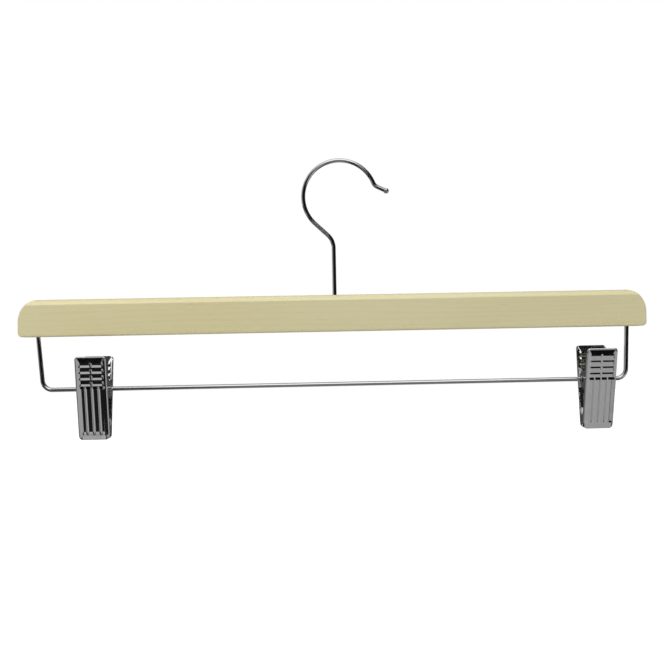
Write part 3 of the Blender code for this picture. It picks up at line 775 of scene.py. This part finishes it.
def flange_edge(z):
    """Where the flange and its ear end, as y in a frame whose pivot is at y = 0."""
    shut = jaw_face(-FLANGE_SHUT) - TIP_FLANGE_GAP / 2.0
    tip = jaw_face(-JAW_REACH) - TIP_FLANGE_GAP / 2.0
    stations = [(JAW_RISE, RIM_FLANGE), (EAR_BASE, EAR_FLANGE), (0.0, PIVOT_FLANGE),
                (-WINDOW_MIDDLE, WINDOW_FLANGE), (-WINDOW_FOOT, WINDOW_FOOT_FLANGE),
                (-FLANGE_SHUT, shut), (-JAW_REACH, tip)]
    plain = along(stations, z) - jaw_face(z)
    if abs(z) >= EAR_BASE:
        return plain
    if abs(z) <= EAR_SHOULDER:
        return math.sqrt(EAR_RADIUS ** 2 - z ** 2)
    root = EAR_FLANGE - jaw_face(EAR_BASE)
    share = (abs(z) - EAR_SHOULDER) / (EAR_BASE - EAR_SHOULDER)
    return max(plain, EAR_SHOULDER_DEPTH * (1.0 - share) + root * share)


def corner_drop(x, radius):
    """How far a rounded corner draws the sheet's end in, at a distance x from its middle."""
    return radius * drawn_in((abs(x) - (JAW_WIDTH / 2.0 - radius)) / radius)


def cornered(x, z):
    """Height z, drawn in near the sheet's ends so that its corners come out round."""
    lip_room = 1.5 * LIP_CORNER_RADIUS
    tip_room = 1.3 * TIP_CORNER_RADIUS
    if z > JAW_RISE - lip_room:
        share = (z - JAW_RISE + lip_room) / lip_room
        return z - share * corner_drop(x, LIP_CORNER_RADIUS)
    if z < tip_room - JAW_REACH:
        share = (tip_room - JAW_REACH - z) / tip_room
        return z + share * corner_drop(x, TIP_CORNER_RADIUS)
    return z


def smooth_share(value):
    value = max(0.0, min(1.0, value))
    return value * value * (3.0 - 2.0 * value)


def jaw_line(z, ear_step, curl=0.0):
    """One level line of a jaw's outer skin: (point, whether it is on the pressed face).

    At the lip the sheet's end curls back, by up to LIP_CURL_TURN."""
    half = JAW_WIDTH / 2.0
    face = jaw_face(z) - LIP_CURL_RADIUS * (1.0 - math.cos(curl))
    z += LIP_CURL_RADIUS * math.sin(curl)
    edge = flange_edge(z)
    count = round(2.0 * RIM_CREST / ACROSS_STEP)
    line = [(Vector((RIM_CREST * (2.0 * step / count - 1.0), -face, z)), True)
            for step in range(count + 1)]
    side = []
    for step in range(1, FOLD_TURNS + 1):
        angle = math.pi / 2.0 * step / FOLD_TURNS
        side.append(Vector((half - FOLD_RADIUS * (1.0 - math.sin(angle)),
                            FOLD_RADIUS * (1.0 - math.cos(angle)) - face, z)))
    fold_end = side[-1].y
    jog_start = -EAR_RADIUS - FIT - EAR_JOG
    for step in range(1, FLANGE_STEPS + 1):
        y = fold_end + (edge - fold_end) * step / FLANGE_STEPS
        jog = ear_step * smooth_share((y - jog_start) / EAR_JOG) if abs(z) < EAR_BASE else 0.0
        side.append(Vector((half - jog, y, z)))
    left = [(Vector((-point.x, point.y, point.z)), False) for point in reversed(side)]
    return left + line + [(point, False) for point in side]


def jaw_skin(name, ear_step):
    """The folded but unpressed outer skin of a jaw, with its face marked for pressing."""
    curl_start = JAW_RISE - LIP_CURL_RADIUS * math.sin(LIP_CURL_TURN)
    rows = round((curl_start + JAW_REACH) / DOWN_STEP)
    levels = [(curl_start, LIP_CURL_TURN * (1.0 - turn / CURL_STEPS)) for turn in range(CURL_STEPS)]
    levels += [(curl_start - (curl_start + JAW_REACH) * row / rows, 0.0) for row in range(rows + 1)]
    bm = bmesh.new()
    mark = bm.verts.layers.float.new("pressed")
    grid = []
    for z, curl in levels:
        line = []
        for point, pressed in jaw_line(z, ear_step, curl):
            vert = bm.verts.new((point.x, point.y, cornered(point.x, point.z)))
            vert[mark] = 1.0 if pressed else 0.0
            line.append(vert)
        grid.append(line)
    for upper, lower in zip(grid, grid[1:]):
        for index in range(len(upper) - 1):
            bm.faces.new((upper[index], lower[index], lower[index + 1], upper[index + 1]))
    return new_object(name, mesh_from(name, bm))


# How a jaw's face is pressed, by the names of the pressing tree's inputs
PRESSING = {
    "Rim Crest": RIM_CREST, "Rim Bevel": 2.1 * MM, "Rim Rise": RIM_RISE, "Relief": RELIEF,
    "Jaw Rise": JAW_RISE, "Lip Height": LIP_HEIGHT, "Jaw Reach": JAW_REACH, "Tip Band": 3.1 * MM,
    "Groove Rows": 4, "Groove Pitch": 3.75 * MM, "Groove Top": 16.1 * MM, "Groove Height": 2.95 * MM,
    "Groove Upper Wall": 1.25 * MM, "Groove Lower Wall": 1.4 * MM, "Groove Depth": 0.16 * MM,
    "Groove Inner End": 0.3 * MM, "Groove Outer End": 7.5 * MM, "Groove End Slope": 0.4 * MM,
    "Flutes": 4, "Flute Pitch": 3.93 * MM, "Flute Width": 3.93 * MM, "Flute Wall": 0.8 * MM,
    "Flute Top": 1.9 * MM, "Flute Top Slope": 1.7 * MM, "Flute Foot Slope": 1.8 * MM,
}


def end_pushed(nodes, size, depth, mark):
    """Ends a tree that pushes a mesh along +Y, as deep as the depth times each point's mark."""
    marked = nodes.add('GeometryNodeInputNamedAttribute', {"Name": mark}, data_type='FLOAT')
    along_y = nodes.times(depth, marked.outputs["Attribute"])
    push = nodes.add('ShaderNodeCombineXYZ', {"Y": along_y}).outputs[0]
    moved = nodes.add('GeometryNodeSetPosition', {"Geometry": size["Geometry"], "Offset": push})
    return end_tree(nodes, moved.outputs[0], size["Material"])


def pressing_tree():
    """Presses a jaw's sunk field, its rows of finger grooves and its long flutes, along +Y."""
    nodes, size = geometry_tree("pressed jaw", PRESSING)
    plus, minus, times, over, scale = nodes.plus, nodes.minus, nodes.times, nodes.over, nodes.scale
    axes = nodes.axes(nodes.add('GeometryNodeInputPosition').outputs[0])
    x = nodes.math('ABSOLUTE', axes["X"])
    z = axes["Z"]

    from_side = over(minus(size["Rim Crest"], x), size["Rim Bevel"])
    from_lip = over(minus(size["Jaw Rise"], z), size["Lip Height"])
    from_tip = over(plus(z, size["Jaw Reach"]), size["Tip Band"])
    inside = nodes.math('MAXIMUM', nodes.least(from_side, from_lip, from_tip), 0.0)
    sink = times(nodes.math('SMOOTH_MIN', inside, 1.0, RIM_SOFTNESS), size["Rim Rise"])

    half_width = times(size["Flute Width"], 0.5)
    reach = times(size["Flutes"], size["Flute Pitch"], 0.5)
    place = over(plus(axes["X"], reach), size["Flute Pitch"])
    from_middle = nodes.math('ABSOLUTE', minus(nodes.math('FRACT', place), 0.5))
    off = times(from_middle, size["Flute Pitch"])
    wall_foot = minus(half_width, size["Flute Wall"])
    last_middle = minus(reach, times(size["Flute Pitch"], 0.5))
    outside = nodes.math('GREATER_THAN', x, last_middle)
    wall = nodes.math('MAXIMUM', scale(off, half_width, wall_foot), outside)
    beside = nodes.math('MAXIMUM', nodes.math('SMOOTH_MIN', from_side, 1.0, RIM_SOFTNESS), 0.0)
    top = scale(z, size["Flute Top"], minus(size["Flute Top"], size["Flute Top Slope"]), smooth=False)
    foot = minus(size["Tip Band"], size["Jaw Reach"])
    bottom = scale(z, foot, plus(foot, size["Flute Foot Slope"]), smooth=False)
    flute = times(wall, times(top, bottom), beside)

    down = over(minus(size["Groove Top"], z), size["Groove Pitch"])
    below = times(nodes.math('FRACT', down), size["Groove Pitch"])
    upper_wall = scale(below, 0.0, size["Groove Upper Wall"], smooth=False)
    lower_start = minus(size["Groove Height"], size["Groove Lower Wall"])
    lower_wall = scale(below, size["Groove Height"], lower_start, smooth=False)
    inner, outer, slope = size["Groove Inner End"], size["Groove Outer End"], size["Groove End Slope"]
    inner_end = scale(x, inner, plus(inner, slope))
    outer_end = scale(x, outer, minus(outer, slope))
    started = nodes.math('GREATER_THAN', down, 0.0)
    ended = nodes.math('LESS_THAN', down, size["Groove Rows"])
    groove = times(nodes.least(upper_wall, lower_wall, inner_end, outer_end), times(started, ended))

    pressed = nodes.math('MAXIMUM', times(flute, size["Relief"]), times(groove, size["Groove Depth"]))
    return end_pushed(nodes, size, plus(sink, pressed), "pressed")


PRESSING_TREE = pressing_tree()


def pressed_jaw(ear_step):
    """One jaw in its own frame: folded, pressed, given its thickness and drilled for the tube."""
    mesh = run_tree(jaw_skin("jaw_skin", ear_step), PRESSING_TREE, PRESSING, MATERIALS["jaw_sheet"])
    mesh.attributes.remove(mesh.attributes["pressed"])
    jaw = new_object("jaw_blank", mesh)
    sheet = jaw.modifiers.new("sheet thickness", 'SOLIDIFY')
    sheet.thickness = SHEET
    sheet.offset = -1.0
    sheet.use_even_offset = True
    hole = rod_object("ear_hole", (-JAW_WIDTH, 0.0, 0.0), (JAW_WIDTH, 0.0, 0.0), TUBE_RADIUS + FIT)
    return cut_out(jaw, [hole])


def placed_copy(mesh, side, turned=False):
    """A copy of a mesh moved from its pivot's frame to the rail, turned round for a back piece."""
    copy = mesh.copy()
    turn = Matrix.Rotation(math.pi, 4, 'Z') if turned else Matrix.Identity(4)
    tilt = Matrix.Rotation(CLIP_TILT[side], 4, 'X')
    copy.transform(Matrix.Translation(PIVOTS[side]) @ tilt @ turn)
    return copy


def tube_mesh():
    """A hollow rivet whose ends are rolled outward to a round rim."""
    reach = JAW_WIDTH / 2.0 + FIT
    flare = TUBE_FLARE / 2.0
    thickness = TUBE_FLARE_THICKNESS
    roll = thickness / 2.0
    right = [(reach, TUBE_RADIUS)]
    for step in range(ROLL_STEPS + 1):
        angle = math.pi * step / ROLL_STEPS
        right.append((reach + roll - roll * math.cos(angle), flare - roll + roll * math.sin(angle)))
    for step in range(ROLL_STEPS + 1):
        angle = math.pi / 2.0 * step / ROLL_STEPS
        right.append((reach + thickness - 2.0 * roll * (1.0 - math.cos(angle)),
                      TUBE_BORE_RADIUS + 2.0 * roll * (1.0 - math.sin(angle))))
    left = [(-distance, radius) for distance, radius in reversed(right)]
    return turned_mesh("tube", right + left, Vector((1.0, 0.0, 0.0)))


def spring_points():
    """A torsion spring round the tube: a leg up each jaw and close turns between them."""
    radius = TUBE_RADIUS + FIT + SPRING_WIRE / 2.0
    pitch = SPRING_WIRE + SPRING_COIL_GAP
    inside = jaw_face(SPRING_LEG_RISE) - INNER_DEPTH - SPRING_WIRE / 2.0
    end = Vector((0.0, -inside, SPRING_LEG_RISE))
    polar = math.atan2(end.z, end.y)
    first = polar + math.acos(radius / end.length)
    last = math.pi - first
    sweep = (last - first) % math.tau + math.tau * SPRING_TURNS
    steps = math.ceil(sweep / math.tau * COIL_STEPS)
    width = pitch * sweep / math.tau
    coil = []
    for step in range(steps + 1):
        share = step / steps
        angle = first + sweep * share
        coil.append(Vector((width * (share - 0.5), radius * math.cos(angle), radius * math.sin(angle))))
    front_leg = Vector((coil[0].x, end.y, end.z))
    back_leg = Vector((coil[-1].x, -end.y, end.z))
    return [front_leg] + coil + [back_leg], width


PAD_SIZES = {"Pad Top": PAD_TIP_GAP - JAW_REACH + PAD_HEIGHT, "Pad Height": PAD_HEIGHT,
             "Ribs": PAD_RIBS, "Rib Depth": PAD_RIB_DEPTH}


def pad_tree():
    """Draws a pad's grip face back into rounded hollows, so that level ribs stand between them."""
    nodes, size = geometry_tree("ribbed pad", PAD_SIZES)
    z = nodes.axes(nodes.add('GeometryNodeInputPosition').outputs[0])["Z"]
    pitch = nodes.over(size["Pad Height"], size["Ribs"])
    down = nodes.over(nodes.minus(size["Pad Top"], z), pitch)
    hollow = nodes.scale(nodes.math('COSINE', nodes.times(down, math.tau)), -0.2, 1.0)
    return end_pushed(nodes, size, nodes.times(hollow, size["Rib Depth"], -1.0), "grip")


def pad_mesh():
    """A wedge of soft plastic that fills a jaw's tip, with ribs drawn on the face that grips."""
    foot = PAD_TIP_GAP - JAW_REACH
    top = foot + PAD_HEIGHT
    half = JAW_WIDTH / 2.0 - SHEET - FIT
    crest = -FIT / 2.0
    rows, columns, layers = PAD_ROWS, PAD_COLUMNS, PAD_LAYERS
    bm = bmesh.new()
    mark = bm.verts.layers.float.new("grip")
    cells = []
    for row in range(rows + 1):
        z = foot + (top - foot) * row / rows
        back = INNER_DEPTH - jaw_face(z)
        sheet = []
        for layer in range(layers + 1):
            y = back + (crest - back) * layer / layers
            line = []
            for column in range(columns + 1):
                vert = bm.verts.new((half * (2.0 * column / columns - 1.0), y, z))
                vert[mark] = 1.0 if layer == layers else 0.0
                line.append(vert)
            sheet.append(line)
        cells.append(sheet)
    for row in range(rows):
        for column in range(columns):
            for layer, turned in ((0, False), (layers, True)):
                face = [cells[row][layer][column], cells[row][layer][column + 1],
                        cells[row + 1][layer][column + 1], cells[row + 1][layer][column]]
                bm.faces.new(reversed(face) if turned else face)
        for layer in range(layers):
            for column in (0, columns):
                bm.faces.new((cells[row][layer][column], cells[row][layer + 1][column],
                              cells[row + 1][layer + 1][column], cells[row + 1][layer][column]))
    for row in (0, rows):
        for layer in range(layers):
            for column in range(columns):
                bm.faces.new((cells[row][layer][column], cells[row][layer + 1][column],
                              cells[row][layer + 1][column + 1], cells[row][layer][column + 1]))
    loose = [vert for vert in bm.verts if not vert.link_faces]
    bmesh.ops.delete(bm, geom=loose, context='VERTS')
    pad = new_object("pad_blank", closed_mesh("pad_blank", bm))
    mesh = run_tree(pad, pad_tree(), PAD_SIZES, MATERIALS["pad"])
    mesh.attributes.remove(mesh.attributes["grip"])
    return mesh


def make_clips():
    front = pressed_jaw(0.0)
    back = pressed_jaw(EAR_STEP)
    tube = tube_mesh()
    pad = pad_mesh()
    points, width = spring_points()
    coil = wire_mesh("spring", points, SPRING_WIRE, "spring_wire")
    pieces = [("front_jaw", front, "jaw_sheet", "front"), ("back_jaw", back, "jaw_sheet", "back"),
              ("pivot_tube", tube, "pivot_tube", "tube"),
              ("front_pad", pad, "pad", "front"), ("back_pad", pad, "pad", "back")]
    for side, pivot in PIVOTS.items():
        for label, mesh, slot, holder in pieces:
            copy = placed_copy(mesh, side, turned=holder == "back")
            finished(f"{side}_{label}", copy, slot, f"{side}_{holder}")
        spring = finished(side + "_spring", placed_copy(coil, side), "spring_wire")
        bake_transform(spring)


def make_camera():
    camera = bpy.data.cameras.new("photo_view")
    camera.sensor_fit = 'HORIZONTAL'
    camera.sensor_width = SENSOR_WIDTH
    camera.lens = CAMERA_FOCUS * SENSOR_WIDTH / PHOTO_WIDTH
    camera.clip_start = 0.02
    camera.clip_end = 30.0
    item = new_object("photo_view", camera)
    level = Matrix.Rotation(math.pi / 2.0, 4, 'X')
    turn = (Matrix.Rotation(CAMERA_YAW, 4, 'Z') @ Matrix.Rotation(CAMERA_PITCH, 4, 'X')
            @ Matrix.Rotation(CAMERA_ROLL, 4, 'Y'))
    item.matrix_world = Matrix.Translation(CAMERA_PLACE) @ turn @ level
    bpy.context.scene.camera = item


def compass(nodes, azimuth, stops):
    """Greys by compass direction in degrees, with 0 in front and 90 to the right."""
    return nodes.colour_stops(azimuth, [((place + 180.0) / 360.0, grey) for place, grey in stops])


# The studio seen in gloss: greys by compass direction, from the ground up to the zenith. Each zone
# gives the two elevations between which it takes over from the zone below it. Runs of stops that
# several zones share come first
LOW_RIGHT = [(-9, 0.012), (-5, 0.54), (22, 0.50), (38, 0.60), (75, 0.55), (100, 0.15), (180, 0.30)]
LEFT_STRIP = [(-180, 0.10), (-150, 0.10), (-110, 0.35), (-80, 0.10), (-35, 0.05), (-18, 0.04),
              (-16, 0.66), (-10.7, 0.66), (-9.6, 0.02)]
LEFT_WALL = [(-180, 0.07), (-150, 0.10), (-128, 0.80), (-105, 0.80), (-75, 0.36), (-50, 0.14)]
HIGH_LEFT = [(-180, 0.06), (-130, 0.06), (-100, 0.50), (-75, 1.10)]
HIGH_RIGHT = [(32, 1.60), (42, 0.04), (180, 0.06)]
STUDIO_GROUND = [(-180, 0.45), (180, 0.45)]
STUDIO_ZONES = [
    (-72.0, -66.0, [(-180, 0.30), (-110, 0.10), (-80, 0.006), (80, 0.006), (110, 0.10), (180, 0.30)]),
    (-38.5, -37.5, [(-180, 0.30), (-110, 0.10), (-80, 0.006), (-6, 0.006), (-3, 0.50), (100, 0.52),
                    (130, 0.35), (180, 0.30)]),
    (-34.8, -33.6, [(-180, 0.25), (-120, 0.06), (-60, 0.04), (-54, 0.42), (-20, 0.50), (-17.5, 0.012),
                    (-9, 0.012), (-6, 0.50), (100, 0.52), (130, 0.35), (180, 0.25)]),
    (-26.0, -24.8, [(-180, 0.30), (-120, 0.15), (-85, 0.04), *LOW_RIGHT]),
    (-23.2, -22.6, [(-180, 0.30), (-120, 0.15), (-96, 0.04), (-86, 0.52), (-60, 0.52), (-55, 0.012),
                    *LOW_RIGHT]),
    (-13.8, -12.6, [*LEFT_STRIP, (11, 0.02), (14, 0.50), (60, 0.50), (75, 0.10), (110, 0.25),
                    (150, 0.15), (180, 0.10)]),
    (-8.6, -7.8, [*LEFT_STRIP, (60, 0.02), (110, 0.20), (150, 0.15), (180, 0.10)]),
    (-4.6, -3.4, [*LEFT_WALL, (-30, 0.04), (-17, 0.008), (60, 0.006), (80, 0.02), (100, 0.04),
                  (125, 0.10), (150, 0.10), (180, 0.07)]),
    (17.0, 19.0, [*LEFT_WALL, (-30, 0.05), (-12, 0.02), (-9.5, 1.60), (13.5, 1.60), (15.5, 0.01),
                  (60, 0.006), (100, 0.04), (150, 0.10), (180, 0.07)]),
    (32.0, 35.0, [*HIGH_LEFT, (-62, 1.00), (-45, 0.10), (-12, 0.05), (-9.5, 1.60), *HIGH_RIGHT]),
    (44.0, 47.0, [*HIGH_LEFT, (-60, 1.60), *HIGH_RIGHT]),
    (60.0, 66.0, [(-180, 1.20), (180, 1.20)]),
]


def make_world():
    """White to the camera, an even pale light on matt surfaces, and a studio seen in gloss.

    The studio is dark round the camera, with a pale sheet low on the right, a wall of light
    further round on the left and a soft light overhead."""
    world = bpy.data.worlds.new("studio")
    bpy.context.scene.world = world
    world.use_nodes = True
    nodes = Nodes(world.node_tree)
    plain = world.node_tree.nodes["Background"]
    output = world.node_tree.nodes["World Output"]
    direction = nodes.add('ShaderNodeTexCoord').outputs["Generated"]
    axes = nodes.axes(direction)
    turn = nodes.math('ARCTAN2', axes["X"], nodes.times(axes["Y"], -1.0))
    azimuth = nodes.scale(turn, -math.pi, math.pi, smooth=False)
    elevation = nodes.math('DEGREES', nodes.math('ARCSINE', axes["Z"]))
    colour = compass(nodes, azimuth, STUDIO_GROUND)
    for start, end, stops in STUDIO_ZONES:
        colour = nodes.mix(nodes.scale(elevation, start, end), colour, compass(nodes, azimuth, stops))
    studio = nodes.add('ShaderNodeBackground', {"Color": colour, "Strength": 1.0})
    fill = nodes.add('ShaderNodeBackground', {"Color": (0.95, 0.97, 1.0, 1.0), "Strength": 0.60})
    rays = nodes.add('ShaderNodeLightPath').outputs
    in_gloss = nodes.math('MAXIMUM', rays["Is Glossy Ray"], rays["Is Transmission Ray"])
    nodes.fill(plain.inputs, {"Color": (1.0, 1.0, 1.0, 1.0), "Strength": 1.0})
    matt = nodes.add('ShaderNodeMixShader', {"Fac": in_gloss, 1: fill.outputs[0], 2: studio.outputs[0]})
    seen = nodes.add('ShaderNodeMixShader', {"Fac": rays["Is Camera Ray"], 1: matt.outputs[0],
                                             2: plain.outputs[0]})
    nodes.fill(output.inputs, {"Surface": seen.outputs[0]})


def make_lamp(name, place, size, power):
    """A soft square lamp that isn't itself seen in gloss: the studio round it is."""
    lamp = bpy.data.lights.new(name, 'AREA')
    lamp.shape = 'SQUARE'
    lamp.size = size
    lamp.energy = power
    item = new_object(name, lamp)
    item.location = place
    item.rotation_euler = (LAMP_TARGET - Vector(place)).to_track_quat('-Z', 'Y').to_euler()
    item.visible_glossy = False


def make_floor():
    """A wide pale floor, white to the camera apart from the hanger's soft shadow."""
    bm = bmesh.new()
    bmesh.ops.create_circle(bm, cap_ends=True, segments=FLOOR_SIDES, radius=FLOOR_RADIUS)
    bmesh.ops.translate(bm, verts=bm.verts, vec=(0.0, 0.0, FLOOR_HEIGHT))
    floor = new_object("floor", mesh_from("floor", bm))
    material, nodes, shader = finish_material("pale_floor", (0.8, 0.8, 0.8), 0.0, 0.9)
    nodes.fill(shader, {"Specular IOR Level": 0.0})
    own = material.node_tree.nodes
    rays = nodes.add('ShaderNodeLightPath').outputs
    glow = nodes.add('ShaderNodeEmission', {"Color": (1.0, 1.0, 1.0, 1.0),
                                            "Strength": nodes.times(rays["Is Camera Ray"], FLOOR_GLOW)})
    both = nodes.add('ShaderNodeAddShader', {0: own["Principled BSDF"].outputs[0], 1: glow.outputs[0]})
    nodes.fill(own["Material Output"].inputs, {"Surface": both.outputs[0]})
    floor.data.materials.append(material)
    floor.visible_glossy = False


bpy.context.scene.view_settings.view_transform = 'Standard'
make_camera()
make_world()
for lamp in LAMPS:
    make_lamp(*lamp)
make_floor()
make_bar()
make_hook()
make_washer()
make_rail()
make_clips()
